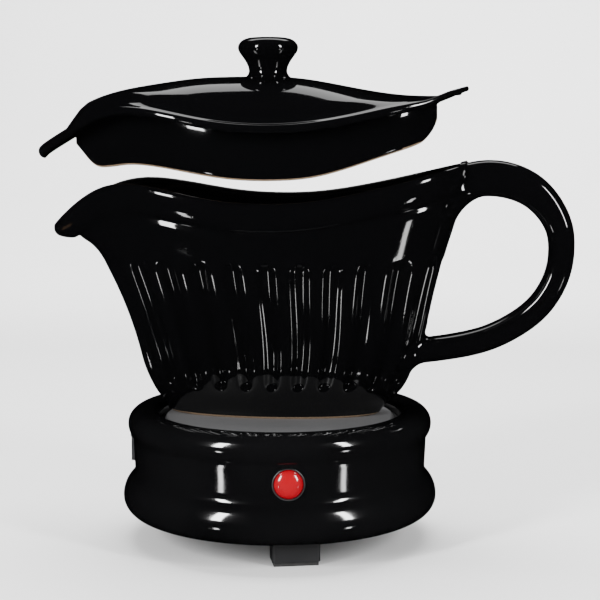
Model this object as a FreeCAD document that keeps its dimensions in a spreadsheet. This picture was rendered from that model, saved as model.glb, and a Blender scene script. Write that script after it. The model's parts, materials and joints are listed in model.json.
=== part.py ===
import FreeCAD, Part

import math
import os

import Sketcher

# Electric sauce warmer: a stoneware gravy boat with a lid on a round heated base.
# Frame: +X towards the boat's handle, -X towards its spout, +Z up, origin on the
# axis of the base where its feet stand. Millimetres throughout.

DIMENSIONS = {
    # base housing, as radii and heights of its turned outline
    "base_floor": 12.8, "low_ring_reach": 78.8, "low_ring_curve": 14.3,
    "low_ring_under": 9.0, "waist_low": 73.0, "waist_low_z": 33.3, "waist_high": 73.7,
    "waist_high_z": 52.0, "top_ring_reach": 76.1, "top_ring_mid": 58.2, "top_ring_curve": 9.3,
    "crest_curve": 7.3, "crest_z": 65.5, "inner_crest": 65.0, "inner_curve": 4.5,
    "recess_bore": 60.5, "ledge_z": 57.5, "ledge_bore": 56.0, "ledge_under": 55.0,
    "wall": 2.4, "cover_rad": 68.8, "cover_thick": 2.4, "fit_gap": 0.2,
    # screw bosses inside the housing and the screws in them
    "boss_turn": 94.0, "boss_ring": 63.0, "boss_rad": 4.5, "boss_tall": 26.0, "rib_thick": 3.0,
    "rib_reach": 71.8, "pilot_rad": 1.5, "pilot_deep": 13.0, "cover_hole_rad": 1.8,
    "screw_head_rad": 3.2, "screw_head_tall": 1.6, "screw_long": 11.0,
    # warming plate and the heater stack below it
    "plate_rad": 57.6, "plate_top": 61.5, "plate_thick": 2.0, "gasket_thick": 1.2,
    "stud_rad": 2.0, "stud_end": 40.0, "heater_rad": 43.0, "heater_thick": 2.6,
    "clamp_rad": 45.0, "clamp_thick": 1.5, "shield_floor": 46.0, "shield_thick": 1.2,
    "shield_rad": 59.5, "nut_rad": 4.0, "nut_tall": 3.2, "plate_edge": 1.2,
    # thermostat and thermal fuse under the shield
    "stat_x": 24.0, "stat_rad": 8.2, "stat_tall": 9.5, "stat_tab": 6.3, "stat_tab_pitch": 10.0,
    "clip_rad": 11.0, "clip_thick": 1.0, "fuse_x": -24.0, "fuse_y": -8.0, "fuse_rad": 2.4,
    "fuse_long": 16.0, "band_rad": 3.0, "band_long": 4.0,
    # controls round the waist, each at its own turn about Z from the front (-Y)
    "control_z": 42.5, "lamp_turn": 10.0, "switch_turn": -98.0, "inlet_turn": 180.0,
    "lens_rad": 7.3, "lens_reach": 76.4, "lens_rise": 3.4, "lens_flange": 9.0, "lens_seat": 68.4,
    "flange_thin": 1.2, "holder_rad": 8.6, "holder_bore": 6.8, "holder_back": 56.0,
    "holder_floor": 1.5, "bulb_rad": 2.9, "bulb_reach": 64.0,
    "bezel_wide": 11.5, "bezel_tall": 16.0, "bezel_face": 77.2, "bezel_seat": 73.8,
    "switch_wide": 9.4, "switch_tall": 13.6, "switch_back": 60.0, "blade_wide": 4.8,
    "blade_long": 8.0, "blade_thick": 0.8, "blade_pitch": 7.0,
    "rocker_wide": 7.0, "rocker_tall": 12.0, "rocker_tilt": 9.0, "rocker_pivot": 73.4,
    "rocker_crown": 4.4, "rocker_dip": 3.0, "rocker_back": 3.6, "rocker_gap": 0.3,
    "pivot_rad": 1.0, "pivot_reach": 4.5, "pivot_gap": 0.06,
    "inlet_wide": 22.0, "inlet_tall": 13.0, "inlet_face": 75.8, "inlet_back": 55.0,
    "inlet_wall": 2.0, "inlet_floor": 4.0, "pin_rad": 1.2, "pin_long": 11.0, "pin_pitch": 8.6,
    "tail_wide": 2.8, "tail_long": 6.0,
    # terminal block and wires
    "block_x": -8.0, "block_y": 30.0, "block_tall": 10.0, "well_pitch": 8.0, "well_rad": 2.2,
    "well_deep": 5.0, "clamp_screw_rad": 2.0, "clamp_screw_tall": 4.0, "wire_rad": 1.1,
    # feet
    "feet_turn": 14.0, "foot_wide": 23.0, "foot_deep": 12.0, "foot_ring": 56.0,
    "foot_corner": 1.5, "pad_thick": 2.0, "pad_inset": 0.8,
    # gravy boat
    "boat_shift": 7.0, "foot_left": -57.0, "foot_right": 50.0, "foot_half": 21.0,
    "foot_tall": 3.0, "boat_wall": 4.6, "boat_floor": 6.0, "mouth_half": 43.5,
    "strap_wide": 15.0, "strap_root": 17.8, "strap_tip": 12.2,
    # lid, raised above the boat at rest
    "lid_raise": 33.0, "lid_gap": 0.6, "flange_thick": 4.5, "skirt_deep": 21.0,
    "skirt_left": -83.0, "skirt_right": 77.5, "skirt_half": 34.6, "lid_wall": 4.5,
    "knob_rad": 14.9, "neck_rad": 9.5, "knob_top": 249.5, "knob_x": -6.4,
}

doc = FreeCAD.newDocument("sauce_warmer")
sheet = doc.addObject("Spreadsheet::Sheet", "Dims")
for row, (alias, value) in enumerate(DIMENSIONS.items(), start=1):
    sheet.set("A%d" % row, alias)
    sheet.set("B%d" % row, str(value))
    sheet.setAlias("B%d" % row, alias)
doc.recompute()

PARTS = []
UP = FreeCAD.Vector(0, 0, 1)
# three of each: feet, bosses and their screws stand evenly round the axis
THIRDS = (0, 120, 240)


def dim(alias):
    """The value of one driving dimension."""
    return float(sheet.get(alias))


def full(text):
    """An expression with every alias written as a cell of the sheet."""
    words = []
    for word in text.split():
        words.append("Dims." + word if word in DIMENSIONS else word)
    return " ".join(words)


def value_of(text):
    """The number that an expression stands for now."""
    return float(sheet.evalExpression(full(text)))


def keep(label, item):
    """Name a finished sub-part, which is then written out."""
    item.Label = label
    PARTS.append(item)
    return item


def bind(item, **rules):
    """Tie an item's sizes to expressions in the sheet's words."""
    for name, rule in rules.items():
        item.setExpression(name, full(rule))


def origin_plane(body, role):
    """One of a body's own datum planes."""
    for feature in body.Origin.OriginFeatures:
        if feature.Role == role:
            return feature
    raise RuntimeError("no plane " + role)


def fix_point(sketch, edge, end, across, up):
    """Hold one end of an edge at two expressions."""
    for kind, axis, rule in (("DistanceX", -2, across), ("DistanceY", -1, up)):
        if rule == "0":
            sketch.addConstraint(Sketcher.Constraint("PointOnObject", edge, end, axis))
            continue
        index = sketch.addConstraint(Sketcher.Constraint(kind, edge, end, value_of(rule)))
        sketch.setExpression("Constraints[%d]" % index, full(rule))


def arc_through(start, stop, radius, left):
    """The short arc of one radius from start to stop, bulging to one side."""
    middle = (start + stop) * 0.5
    chord = stop - start
    across = FreeCAD.Vector(-chord.y, chord.x, 0).normalize()
    rise = math.sqrt(max(radius ** 2 - (chord.Length / 2) ** 2, 0))
    centre = middle + across * (rise if left else -rise)
    bulge = centre + (middle - centre).normalize() * radius if rise > 1e-6 else middle - across * radius
    return Part.Arc(start, bulge, stop)


def outline_sketch(body, name, outline, role="XZ_Plane"):
    """A closed sketch of lines and arcs, each corner bound to the sheet.

    A corner is (across, up) for a straight edge to the next corner, or
    (across, up, radius, left) for an arc with its centre on that side.
    """
    sketch = body.newObject("Sketcher::SketchObject", name)
    sketch.AttachmentSupport = [(origin_plane(body, role), "")]
    sketch.MapMode = "FlatFace"
    doc.recompute()
    spots = [FreeCAD.Vector(value_of(c[0]), value_of(c[1]), 0) for c in outline]
    ends = []
    for number, corner in enumerate(outline):
        start, stop = spots[number], spots[(number + 1) % len(spots)]
        if len(corner) == 2:
            ends.append((sketch.addGeometry(Part.LineSegment(start, stop)), 1, 2))
            continue
        edge = sketch.addGeometry(arc_through(start, stop, value_of(corner[2]), corner[3]))
        ends.append((edge, 1, 2) if sketch.getPoint(edge, 1).distanceToPoint(start) < 1e-4 else (edge, 2, 1))
    for number, corner in enumerate(outline):
        edge, begin, end = ends[number]
        following = ends[(number + 1) % len(ends)]
        fix_point(sketch, edge, begin, corner[0], corner[1])
        sketch.addConstraint(Sketcher.Constraint("Coincident", edge, end, following[0], following[1]))
        if len(corner) > 2:
            index = sketch.addConstraint(Sketcher.Constraint("Radius", edge, value_of(corner[2])))
            sketch.setExpression("Constraints[%d]" % index, full(corner[2]))
    doc.recompute()
    return sketch


def turned_body(name, outline, cuts=()):
    """A body revolved about Z, with turned hollows grooved out of it."""
    body = doc.addObject("PartDesign::Body", name)
    sketch = outline_sketch(body, name + "_outline", outline)
    solid = body.newObject("PartDesign::Revolution", name + "_turn")
    solid.Profile = sketch
    solid.ReferenceAxis = (sketch, ["V_Axis"])
    solid.Angle = 360
    doc.recompute()
    for number, cut in enumerate(cuts):
        before = body.Shape.Volume
        hollow = outline_sketch(body, "%s_hollow%d" % (name, number), cut)
        groove = body.newObject("PartDesign::Groove", "%s_groove%d" % (name, number))
        groove.Profile = hollow
        groove.ReferenceAxis = (hollow, ["V_Axis"])
        groove.Angle = 360
        doc.recompute()
        if body.Shape.Volume > before - 1:
            raise RuntimeError("%s: hollow %d cuts nothing" % (name, number))
    return body


def drum(name, radius, low, high, bore=None):
    """A disc or washer about Z between two heights."""
    body = doc.addObject("Part::Cylinder", name)
    bind(body, Radius=radius, Height="%s - ( %s )" % (high, low))
    body.setExpression("Placement.Base.z", full(low))
    if bore is None:
        return body
    hole = doc.addObject("Part::Cylinder", name + "_bore")
    bind(hole, Radius=bore, Height="%s - ( %s ) + 2" % (high, low))
    hole.setExpression("Placement.Base.z", full("%s - 1" % low))
    return difference(name + "_ring", body, [hole])


def difference(name, base, tools):
    """One object less several others, cut one after another."""
    for number, tool in enumerate(tools):
        cut = doc.addObject("Part::Cut", "%s_cut%d" % (name, number))
        cut.Base = base
        cut.Tool = tool
        base = cut
    return base


def union(name, shapes):
    """Several objects fused into one."""
    joined = doc.addObject("Part::MultiFuse", name)
    joined.Shapes = shapes
    return joined


def block(name, wide, tall, inner, outer, turn, centre_z="control_z", side="0"):
    """A box standing off the axis: radial from inner to outer, turned about Z from -Y."""
    box = doc.addObject("Part::Box", name)
    bind(box, Length=wide, Width="%s - ( %s )" % (outer, inner), Height=tall)
    place_turned(box, turn, "( %s ) - ( %s ) / 2" % (side, wide), "-1 * ( %s )" % outer,
                 "%s - ( %s ) / 2" % (centre_z, tall))
    return box


def place_turned(item, turn, across, along, high):
    """Put an item at (across, along, high) in a frame turned about Z."""
    item.setExpression("Placement.Rotation.Angle", full(turn))
    item.setExpression("Placement.Base.x", full(
        "( %s ) * cos( ( %s ) * 1deg ) - ( %s ) * sin( ( %s ) * 1deg )" % (across, turn, along, turn)))
    item.setExpression("Placement.Base.y", full(
        "( %s ) * sin( ( %s ) * 1deg ) + ( %s ) * cos( ( %s ) * 1deg )" % (across, turn, along, turn)))
    item.setExpression("Placement.Base.z", full(high))
    item.Placement.Rotation.Axis = UP


def turned_shape(shape, turn, height=0.0):
    """A shape made facing -Y about the origin, turned about Z and lifted."""
    copy = shape.copy()
    turned = FreeCAD.Placement(FreeCAD.Vector(0, 0, height), FreeCAD.Rotation(UP, turn))
    copy.Placement = turned * copy.Placement
    return copy


def formed(label, shape):
    """A sub-part whose shape is worked out from the sheet's values."""
    item = doc.addObject("Part::Feature", label)
    place = shape.Placement.copy()
    item.Shape = shape
    item.Placement = place
    return keep(label, item)


def radial_rod(radius, inner, outer, side=0.0, lift=0.0):
    """A rod lying along -Y from one distance off the axis to another."""
    start = FreeCAD.Vector(side, -inner, lift)
    return Part.makeCylinder(radius, outer - inner, start, FreeCAD.Vector(0, -1, 0))


def centred_box(wide, deep, tall, centre):
    """A box about its middle point."""
    corner = centre - FreeCAD.Vector(wide / 2, deep / 2, tall / 2)
    return Part.makeBox(wide, deep, tall, corner)


# ---------------------------------------------------------------- base housing
def make_housing():
    """The moulded shell: two rolled rings, a waist, a recess and its bosses."""
    shell = turned_body("housing_shell", [
        ("0", "base_floor"),
        ("low_ring_reach - low_ring_under", "base_floor", "low_ring_under", True),
        ("low_ring_reach", "base_floor + low_ring_under", "low_ring_curve", True),
        ("waist_low", "waist_low_z"),
        ("waist_high", "waist_high_z", "top_ring_curve", True),
        ("top_ring_reach", "top_ring_mid", "crest_curve", True),
        ("top_ring_reach - crest_curve", "crest_z"),
        ("inner_crest", "crest_z", "inner_curve", True),
        ("recess_bore", "crest_z - inner_curve"),
        ("recess_bore", "ledge_z"),
        ("0", "ledge_z"),
    ], cuts=[[
        ("0", "base_floor - 2"),
        ("cover_rad + fit_gap", "base_floor - 2"),
        ("cover_rad + fit_gap", "base_floor + cover_thick"),
        ("low_ring_reach - 3 * wall", "base_floor + cover_thick + 1"),
        ("waist_low - wall", "waist_low_z"),
        ("waist_high - wall", "waist_high_z"),
        ("top_ring_reach - 1.5 * wall", "top_ring_mid - 1"),
        ("top_ring_reach - 1.5 * wall", "top_ring_mid + 1"),
        ("top_ring_reach - crest_curve", "crest_z - wall"),
        ("inner_crest", "crest_z - wall"),
        ("recess_bore + wall", "crest_z - inner_curve"),
        ("recess_bore + wall", "ledge_under"),
        ("0", "ledge_under"),
    ], [
        ("0", "ledge_under - 1"),
        ("ledge_bore", "ledge_under - 1"),
        ("ledge_bore", "ledge_z + 1"),
        ("0", "ledge_z + 1"),
    ]])
    lens_hole = doc.addObject("Part::Cylinder", "lens_hole")
    bind(lens_hole, Radius="lens_rad + fit_gap", Height="20")
    lens_hole.Placement = FreeCAD.Placement(
        FreeCAD.Vector(0, 0, dim("control_z")),
        FreeCAD.Rotation(UP, dim("lamp_turn")) * FreeCAD.Rotation(FreeCAD.Vector(1, 0, 0), 90)
    ) * FreeCAD.Placement(FreeCAD.Vector(0, 0, 65), FreeCAD.Rotation())
    switch_hole = block("switch_hole", "switch_wide + 2 * fit_gap", "switch_tall + 2 * fit_gap",
                        "switch_back", "bezel_face", "switch_turn")
    inlet_hole = block("inlet_hole", "inlet_wide + 2 * fit_gap", "inlet_tall + 2 * fit_gap",
                       "inlet_back", "inlet_face", "inlet_turn")
    bosses = []
    for number, third in enumerate(THIRDS):
        turn = "boss_turn + %d" % third
        boss = doc.addObject("Part::Cylinder", "boss%d" % number)
        bind(boss, Radius="boss_rad", Height="boss_tall")
        place_turned(boss, turn, "0", "-1 * boss_ring", "base_floor + cover_thick")
        rib = block("rib%d" % number, "rib_thick", "boss_tall", "boss_ring", "rib_reach", turn,
                    "base_floor + cover_thick + boss_tall / 2")
        pilot = doc.addObject("Part::Cylinder", "pilot%d" % number)
        bind(pilot, Radius="pilot_rad", Height="pilot_deep + 1")
        place_turned(pilot, turn, "0", "-1 * boss_ring", "base_floor + cover_thick - 1")
        bosses.append((boss, rib, pilot))
    walls = difference("housing_windows", shell, [lens_hole, switch_hole, inlet_hole])
    whole = union("housing_bosses", [walls] + [part for trio in bosses for part in trio[:2]])
    keep("base_housing", difference("housing_pilots", whole, [trio[2] for trio in bosses]))


# ------------------------------------------------------------- bottom and feet
def make_bottom():
    """The bottom cover, its screws, and the three feet with their pads."""
    disc = drum("cover_disc", "cover_rad", "base_floor", "base_floor + cover_thick")
    holes = []
    for number, third in enumerate(THIRDS):
        hole = doc.addObject("Part::Cylinder", "cover_hole%d" % number)
        bind(hole, Radius="cover_hole_rad", Height="cover_thick + 2")
        place_turned(hole, "boss_turn + %d" % third, "0", "-1 * boss_ring", "base_floor - 1")
        holes.append(hole)
    keep("bottom_cover", difference("cover", disc, holes))

    pads = []
    for third, label in zip(THIRDS, ("foot_front", "foot_rear_right", "foot_rear_left")):
        turn = dim("feet_turn") + third
        tall = dim("base_floor") - dim("pad_thick")
        centre = FreeCAD.Vector(0, -dim("foot_ring"), dim("pad_thick") + tall / 2)
        foot = centred_box(dim("foot_wide"), dim("foot_deep"), tall, centre)
        upright = [e for e in foot.Edges if abs(e.tangentAt(e.FirstParameter).z) > 0.9]
        foot = foot.makeFillet(dim("foot_corner"), upright)
        formed(label, turned_shape(foot, turn))
        pad_centre = FreeCAD.Vector(0, -dim("foot_ring"), dim("pad_thick") / 2)
        inset = 2 * dim("pad_inset")
        pad = centred_box(dim("foot_wide") - inset, dim("foot_deep") - inset, dim("pad_thick"), pad_centre)
        pads.append(turned_shape(pad, turn))
    formed("foot_pads", Part.makeCompound(pads))

    screws = []
    for third in THIRDS:
        seat = FreeCAD.Vector(0, -dim("boss_ring"), dim("base_floor"))
        head = Part.makeCylinder(dim("screw_head_rad"), dim("screw_head_tall"), seat, UP * -1)
        shank = Part.makeCylinder(dim("pilot_rad"), dim("screw_long"), seat)
        screws.append(turned_shape(head.fuse(shank).removeSplitter(), dim("boss_turn") + third))
    formed("cover_screws", Part.makeCompound(screws))


# -------------------------------------------------- warming plate, heater stack
def make_heater():
    """The plate with its stud, and the stack that the stud clamps under it."""
    plate = turned_body("warming_plate_body", [
        ("0", "plate_top - plate_thick"),
        ("plate_rad - plate_thick", "plate_top - plate_thick"),
        ("plate_rad - plate_thick", "ledge_z + gasket_thick"),
        ("plate_rad", "ledge_z + gasket_thick"),
        ("plate_rad", "plate_top - plate_edge", "plate_edge", True),
        ("plate_rad - plate_edge", "plate_top"),
        ("0", "plate_top"),
    ])
    stud = drum("plate_stud", "stud_rad", "stud_end", "plate_top - 1")
    keep("warming_plate", union("plate_and_stud", [plate, stud]))
    keep("plate_gasket", drum("gasket", "recess_bore - fit_gap", "ledge_z", "ledge_z + gasket_thick",
                              "ledge_bore - 0.5"))
    heater_low = "plate_top - plate_thick - heater_thick"
    clamp_low = heater_low + " - clamp_thick"
    hole = "stud_rad + fit_gap"
    keep("heating_element", drum("heater", "heater_rad", heater_low, "plate_top - plate_thick", hole))
    keep("heater_clamp", drum("clamp", "clamp_rad", clamp_low, heater_low, hole))
    shield_top = "shield_floor + shield_thick"
    keep("insulation_pad", drum("pad", "heater_rad", shield_top, clamp_low, hole))
    shield = turned_body("heat_shield_body", [
        (hole, "shield_floor"),
        ("clamp_rad", "shield_floor"),
        ("clamp_rad + 4", "ledge_under - shield_thick"),
        ("shield_rad", "ledge_under - shield_thick"),
        ("shield_rad", "ledge_under"),
        ("clamp_rad + 3", "ledge_under"),
        ("clamp_rad - 1", shield_top),
        (hole, shield_top),
    ])
    keep("heat_shield", shield)
    nut = doc.addObject("Part::Prism", "nut_hex")
    nut.Polygon = 6
    bind(nut, Circumradius="nut_rad", Height="nut_tall")
    nut.setExpression("Placement.Base.z", full("shield_floor - nut_tall"))
    bore = drum("nut_bore", "stud_rad + pivot_gap", "shield_floor - nut_tall - 1", "shield_floor + 1")
    keep("plate_nut", difference("nut", nut, [bore]))


# --------------------------------------------------------- thermostat and fuse
def make_cutouts():
    """The thermostat and the thermal fuse, each held up to the shield by a clip."""
    roof = FreeCAD.Vector(dim("stat_x"), 0, dim("shield_floor"))
    tall, radius, gap = dim("stat_tall"), dim("stat_rad"), dim("pivot_gap")
    body = Part.makeCylinder(radius, tall, roof - UP * tall)
    tab_wide, tab_tall = dim("stat_tab"), 8.0
    pitch = FreeCAD.Vector(dim("stat_tab_pitch") / 2, 0, 0)
    low = roof - UP * (tall + tab_tall / 2 - 0.5)
    tabs = [centred_box(tab_wide, dim("blade_thick"), tab_tall, spot) for spot in (low - pitch, low + pitch)]
    formed("thermostat", body.fuse(tabs).removeSplitter())
    drop, leg_wide, leg_thick = 6.5, 5.0, 1.6
    collar = Part.makeCylinder(dim("clip_rad"), dim("clip_thick"), roof - UP * drop)
    aside = FreeCAD.Vector(0, dim("clip_rad") - 1.0, 0)
    middle = roof - UP * (drop / 2)
    legs = [centred_box(leg_wide, leg_thick, drop, spot) for spot in (middle - aside, middle + aside)]
    ring = collar.fuse(legs).cut(Part.makeCylinder(radius + gap, tall + 2, roof - UP * (tall + 1)))
    formed("thermostat_clip", ring.removeSplitter())

    fuse_rad, band_rad, band_long = dim("fuse_rad"), dim("band_rad"), dim("band_long")
    spot = FreeCAD.Vector(dim("fuse_x"), dim("fuse_y"), dim("shield_floor") - band_rad)
    along = FreeCAD.Vector(0, 1, 0)
    formed("thermal_fuse", Part.makeCylinder(fuse_rad, dim("fuse_long"), spot, along))
    half_way = along * (dim("fuse_long") / 2)
    band = Part.makeCylinder(band_rad, band_long, spot + half_way - along * (band_long / 2), along)
    wing, wing_thick = 12.0, 1.0
    flag = FreeCAD.Vector(-5.0, 0, band_rad - wing_thick / 2)
    band = band.fuse(centred_box(wing, band_long, wing_thick, spot + half_way + flag))
    band = band.cut(Part.makeCylinder(fuse_rad + gap, dim("fuse_long") + 4, spot - along * 2, along))
    formed("fuse_clip", band.removeSplitter())


# --------------------------------------------------------------- pilot light
def make_light():
    """The lens in the waist, the holder behind it and the lamp inside."""
    turn, height = dim("lamp_turn"), dim("control_z")
    reach, radius, rise, seat = dim("lens_reach"), dim("lens_rad"), dim("lens_rise"), dim("lens_seat")
    ball = (radius ** 2 + rise ** 2) / (2 * rise)
    dome = Part.makeSphere(ball, FreeCAD.Vector(0, -(reach - ball), 0))
    dome = dome.common(radial_rod(radius, reach - rise, reach + 1))
    barrel = radial_rod(radius, seat, reach - rise)
    flange = radial_rod(dim("lens_flange"), seat, seat + dim("flange_thin"))
    lens = dome.fuse([barrel, flange])
    formed("indicator_lens", turned_shape(lens.removeSplitter(), turn, height))
    back = dim("holder_back")
    floor = back + dim("holder_floor")
    cup = radial_rod(dim("holder_rad"), back, seat).cut(radial_rod(dim("holder_bore"), floor, seat + 1))
    formed("lamp_holder", turned_shape(cup, turn, height))
    bulb_rad, tip = dim("bulb_rad"), dim("bulb_reach")
    bulb = radial_rod(bulb_rad, floor, tip).fuse(Part.makeSphere(bulb_rad, FreeCAD.Vector(0, -tip, 0)))
    formed("indicator_lamp", turned_shape(bulb.removeSplitter(), turn, height))


# -------------------------------------------------------------- rocker switch
def make_switch():
    """The switch body, the rocker on its pivot pins, and the two blades behind."""
    bezel = block("bezel", "bezel_wide", "bezel_tall", "bezel_seat", "bezel_face", "switch_turn")
    case = block("case", "switch_wide", "switch_tall", "switch_back", "bezel_seat + 0.5", "switch_turn")
    pocket = block("pocket", "rocker_wide + 2 * rocker_gap", "rocker_tall + 0.8", "rocker_pivot - 6.2",
                   "bezel_face + 1", "switch_turn")
    socket = doc.addObject("Part::Cylinder", "pivot_socket")
    bind(socket, Radius="pivot_rad + pivot_gap", Height="2 * pivot_reach + 1")
    start = FreeCAD.Vector(-dim("pivot_reach") - 0.5, -dim("rocker_pivot"), dim("control_z"))
    across = FreeCAD.Placement(start, FreeCAD.Rotation(FreeCAD.Vector(0, 1, 0), 90))
    socket.Placement = FreeCAD.Placement(FreeCAD.Vector(), FreeCAD.Rotation(UP, dim("switch_turn"))) * across
    keep("switch_body", difference("switch", union("switch_solid", [bezel, case]), [pocket, socket]))

    # the paddle: two faces meeting in a shallow V over a round back, on its pivot line
    half, crown, dip = dim("rocker_tall") / 2 - 0.3, dim("rocker_crown"), dim("rocker_dip")
    corner = 0.6
    face = [(half, crown), (0, dip), (-half, crown), (-half + corner, corner)]
    points = [FreeCAD.Vector(0, -out, up) for up, out in face]
    last = FreeCAD.Vector(0, -corner, half - corner)
    edges = [Part.makeLine(points[i], points[i + 1]) for i in range(3)]
    edges.append(Part.Arc(points[3], FreeCAD.Vector(0, dim("rocker_back"), 0), last).toShape())
    edges.append(Part.makeLine(last, points[0]))
    paddle = Part.Face(Part.Wire(edges)).extrude(FreeCAD.Vector(dim("rocker_wide"), 0, 0))
    paddle.translate(FreeCAD.Vector(-dim("rocker_wide") / 2, 0, 0))
    paddle.rotate(FreeCAD.Vector(), FreeCAD.Vector(1, 0, 0), dim("rocker_tilt"))
    reach = dim("pivot_reach")
    start = FreeCAD.Vector(-reach, 0, 0)
    pins = Part.makeCylinder(dim("pivot_rad"), 2 * reach, start, FreeCAD.Vector(1, 0, 0))
    paddle = paddle.fuse(pins).removeSplitter()
    paddle.translate(FreeCAD.Vector(0, -dim("rocker_pivot"), 0))
    formed("switch_rocker", turned_shape(paddle, dim("switch_turn"), dim("control_z")))
    long, thick, rise = dim("blade_long"), dim("blade_thick"), dim("blade_pitch") / 2
    spots = [FreeCAD.Vector(0, -dim("switch_back") + long / 2, up) for up in (-rise, rise)]
    blades = [centred_box(dim("blade_wide"), long, thick, spot) for spot in spots]
    formed("switch_terminals", turned_shape(Part.makeCompound(blades), dim("switch_turn"), dim("control_z")))


# ---------------------------------------------------------------- mains inlet
def make_inlet():
    """The appliance inlet at the rear, with its two pins and their tails."""
    flange = block("inlet_flange", "inlet_wide + 4", "inlet_tall + 3", "bezel_seat", "inlet_face",
                   "inlet_turn")
    case = block("inlet_case", "inlet_wide", "inlet_tall", "inlet_back", "bezel_seat + 0.5", "inlet_turn")
    mouth = block("inlet_mouth", "inlet_wide - 2 * inlet_wall", "inlet_tall - 2 * inlet_wall",
                  "inlet_back + inlet_floor", "inlet_face + 1", "inlet_turn")
    keep("mains_inlet", difference("inlet", union("inlet_solid", [flange, case]), [mouth]))
    pins = []
    floor = dim("inlet_back") + dim("inlet_floor")
    tail_long = dim("tail_long")
    for side in (-0.5, 0.5):
        across = side * dim("pin_pitch")
        pin = radial_rod(dim("pin_rad"), floor, floor + dim("pin_long"), across)
        spot = FreeCAD.Vector(across, -dim("inlet_back") + tail_long / 2, 0)
        tail = centred_box(dim("tail_wide"), tail_long, dim("blade_thick"), spot)
        pins += [pin, tail]
    formed("inlet_pins", turned_shape(Part.makeCompound(pins), dim("inlet_turn"), dim("control_z")))


# ----------------------------------------------------- terminal block and wires
def wire_run(points, radius):
    """An insulated wire: straight runs joined by tangent arcs."""
    edges = []
    start = points[0]
    for before, corner, after in zip(points, points[1:], points[2:]):
        arm_in, arm_out = (before - corner), (after - corner)
        turn = math.pi - arm_in.getAngle(arm_out)
        bend = 0.45 * min(arm_in.Length, arm_out.Length) / math.tan(turn / 2)
        reach = bend * math.tan(turn / 2)
        enter = corner + arm_in.normalize() * reach
        leave = corner + arm_out.normalize() * reach
        middle_way = (enter + leave) * 0.5 - corner
        depth = bend / math.cos(turn / 2) - bend
        middle = corner + middle_way.normalize() * depth
        edges.append(Part.makeLine(start, enter))
        edges.append(Part.Arc(enter, middle, leave).toShape())
        start = leave
    edges.append(Part.makeLine(start, points[-1]))
    path = Part.Wire(edges)
    heading = edges[0].tangentAt(edges[0].FirstParameter)
    section = Part.Wire([Part.Circle(points[0], heading, radius).toShape()])
    return path.makePipeShell([section], True, True)


def make_wiring():
    """The terminal block on the bottom cover and the insulated wires from it."""
    deck = dim("base_floor") + dim("cover_thick")
    tall, pitch, well_deep = dim("block_tall"), dim("well_pitch"), dim("well_deep")
    block_wide, block_deep = 3 * pitch + 2, 14.0
    middle = FreeCAD.Vector(dim("block_x"), dim("block_y"), deck + tall / 2)
    base = centred_box(block_wide, block_deep, tall, middle)
    floors = [middle + FreeCAD.Vector(step * pitch, 0, tall / 2 - well_deep) for step in (-1, 0, 1)]
    wells = [Part.makeCylinder(dim("well_rad"), well_deep + 1, spot) for spot in floors]
    formed("terminal_block", base.cut(wells))
    studs = [Part.makeCylinder(dim("clamp_screw_rad"), dim("clamp_screw_tall"), spot) for spot in floors]
    formed("terminal_screws", Part.makeCompound(studs))
    # wires end just short of the metal they join
    gap, entry = 1.5, deck + 4
    front = dim("block_y") - block_deep / 2 - gap
    rear = dim("block_y") + block_deep / 2 + gap
    control = dim("control_z")
    routes = [
        # inlet to block, block to thermostat, block to fuse, block to switch, block to lamp
        [(4.3, 47.0, control), (4.3, 45, 34), (0, 44, 24), (0, rear, entry)],
        [(0, front, entry), (6, 14, 20), (16, 4, 21), (19, 0, 27.4)],
        [(-8, front, entry), (-16, 14, 24), (-24, 14, 34), (-24, 10.4, 40.8)],
        [(-16, rear, entry), (-30, 38, 26), (-46, 20, 36), (-49.6, 8.0, 45.4)],
        [(-12, front, entry), (-10, 0, 19), (4, -34, 28), (9.3, -52.8, 41.4)],
    ]
    radius = dim("wire_rad")
    wires = [wire_run([FreeCAD.Vector(*spot) for spot in route], radius) for route in routes]
    formed("internal_wiring", Part.makeCompound(wires))


# ------------------------------------------------------------------ gravy boat
RIM = [(-126, 149.5), (-116.2, 155.0), (-112.5, 160.2), (-108.2, 164.9), (-103.5, 169.0),
       (-97.3, 173.1), (-85, 177.2), (-74, 178.4), (-60, 177.0), (-40, 173.3), (-24, 170.9), (-8, 169.9),
       (5, 170.0), (18, 171.0), (32, 173.0), (50, 176.7), (66, 180.2), (79, 183.5), (88, 186.0),
       (104, 190.0)]
# height of the body: left end, right end, half width
BODY = [(64.5, -58.3, 51.0, 22.0), (72.0, -64.0, 58.3, 26.5), (84.0, -68.4, 66.4, 30.2),
        (96.0, -72.6, 70.6, 33.0), (122.0, -81.8, 75.9, 37.5), (150.0, -91.0, 83.0, 41.5),
        (172.0, -94.0, 91.0, 43.5), (198.0, -95.0, 96.0, 44.5)]
# spout across its length: keel height, half width
SPOUT_TOP = 204.0
SPOUT = [(-46.0, 108.0, 30.0), (-81.0, 124.0, 26.0), (-92.0, 142.0, 18.0), (-103.0, 149.2, 11.5),
         (-112.0, 150.9, 6.5), (-116.2, 152.6, 4.5)]
# centre line of the handle, root to root
HANDLE = [(78, 175.2), (88, 177.6), (100, 180.2), (113, 179.2), (125, 173.8), (133, 165.6),
          (138.2, 155.0), (139.2, 146.0), (138.3, 136.5), (134.5, 126.0), (127.5, 116.0), (117, 107.6),
          (103.4, 100.7), (90, 97.0), (77, 94.8), (64, 93.4)]


def spline_through(points):
    """A smooth curve through points."""
    curve = Part.BSplineCurve()
    curve.interpolate([FreeCAD.Vector(*p) for p in points])
    return curve


def rim_curve(shift=0.0):
    """The saddle line of the rim, raised or lowered."""
    return spline_through([(x, 0, z + shift) for x, z in RIM])


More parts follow.
